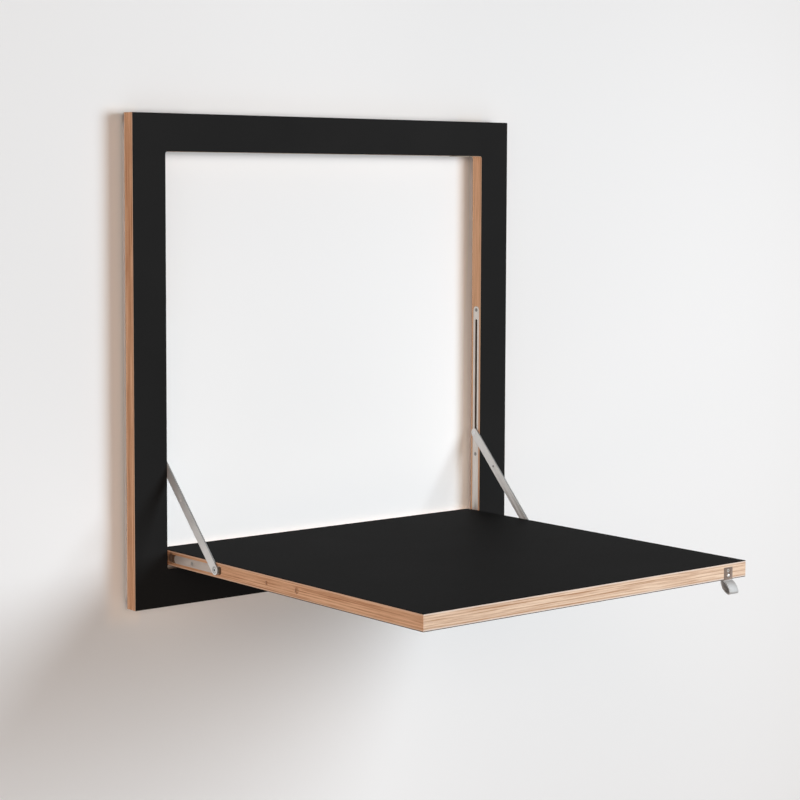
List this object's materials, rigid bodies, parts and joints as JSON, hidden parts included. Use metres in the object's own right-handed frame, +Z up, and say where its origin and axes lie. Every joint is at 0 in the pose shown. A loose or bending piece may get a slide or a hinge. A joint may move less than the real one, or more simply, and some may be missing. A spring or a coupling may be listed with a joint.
{
  "type": "wall mounted drop leaf table",
  "caption": "Square plywood frame fixed flat on a wall, with a leaf cut from its middle that folds down on pins and is held level by sliding steel stays.",
  "frame": {"origin": "midway between the two wall screws, in the wall's face", "axes": "+X to the right along the wall, +Y into the wall, +Z up; the leaf folds out towards -Y"},
  "size_m": [0.6, 0.5193, 0.6],
  "materials": {
    "birch_plywood": "cut edges of birch plywood, clear oiled, thirteen plies showing",
    "black_laminate": "matt black high-pressure laminate",
    "stay_steel": "satin stainless steel",
    "plate_steel": "satin nickel plated steel",
    "fastener_steel": "bright zinc plated steel",
    "black_nylon": "moulded black nylon",
    "bumper_rubber": "matt black rubber",
    "rail_aluminium": "mill finish, lightly anodised",
    "brass": "turned brass",
    "ball_steel": "polished bearing steel",
    "spring_steel": "drawn spring wire"
  },
  "bodies": {
    "frame": {"bumper_screws": "fastener_steel", "frame_front_laminate": "black_laminate", "frame_hook_rail": "rail_aluminium", "frame_plywood": "birch_plywood", "frame_rear_laminate": "black_laminate", "hinge_bush_left": "brass", "hinge_bush_right": "brass", "hinge_washer_left": "black_nylon", "hinge_washer_right": "black_nylon", "hook_rail_screws": "fastener_steel", "strike_plate": "plate_steel", "strike_screws": "fastener_steel", "track_plate_left": "plate_steel", "track_plate_right": "plate_steel", "track_screws": "fastener_steel", "wall_bumper_left": "bumper_rubber", "wall_bumper_right": "bumper_rubber", "wall_rail": "rail_aluminium"},
    "leaf": {"base_plate_screws": "fastener_steel", "catch_barrel": "brass", "catch_pull": "plate_steel", "catch_screw": "fastener_steel", "catch_spring": "spring_steel", "hinge_pin_left": "fastener_steel", "hinge_pin_right": "fastener_steel", "leaf_bottom_laminate": "black_laminate", "leaf_plywood": "birch_plywood", "leaf_top_laminate": "black_laminate", "stay_base_plate_left": "plate_steel", "stay_base_plate_right": "plate_steel", "stay_rivet_left": "fastener_steel", "stay_rivet_right": "fastener_steel"},
    "stay_arm_left": {"stay_arm_left": "stay_steel", "stay_pin_left": "stay_steel"},
    "stay_arm_right": {"stay_arm_right": "stay_steel", "stay_pin_right": "stay_steel"},
    "slider_left": {"slider_left": "black_nylon"},
    "slider_right": {"slider_right": "black_nylon"},
    "catch_ball": {"catch_ball": "ball_steel"}
  },
  "joints": [
    {"name": "leaf_hinge", "type": "hinge", "parent": "frame", "child": "leaf", "pos_m": [0, -0.0172, -0.5082], "axis": [-1, 0, 0], "range_deg": [0, 90]},
    {"name": "stay_left_pivot", "type": "hinge", "parent": "leaf", "child": "stay_arm_left", "pos_m": [-0.2525, -0.1272, -0.5082], "axis": [1, 0, 0], "range_deg": [0, 133.43]},
    {"name": "stay_right_pivot", "type": "hinge", "parent": "leaf", "child": "stay_arm_right", "pos_m": [0.2525, -0.1272, -0.5082], "axis": [1, 0, 0], "range_deg": [0, 133.43]},
    {"name": "slider_left_slide", "type": "slide", "parent": "frame", "child": "slider_left", "axis": [0, 0, 1], "range_m": [0, 0.15381]},
    {"name": "slider_right_slide", "type": "slide", "parent": "frame", "child": "slider_right", "axis": [0, 0, 1], "range_m": [0, 0.15381]},
    {"name": "catch_ball_slide", "type": "slide", "parent": "leaf", "child": "catch_ball", "axis": [0, 1, 0], "range_m": [0, 0.0017], "stiffness_N_per_m": 800, "springref_m": -0.004, "deforming": ["catch_spring"]}
  ],
  "couplings": [
    {"joint": "stay_left_pivot", "follows": "leaf_hinge", "ratio": 1.4826},
    {"joint": "stay_right_pivot", "follows": "leaf_hinge", "ratio": 1.4826},
    {"joint": "slider_left_slide", "follows": "leaf_hinge", "m_per_rad": 0.097919},
    {"joint": "slider_right_slide", "follows": "leaf_hinge", "m_per_rad": 0.097919}
  ]
}
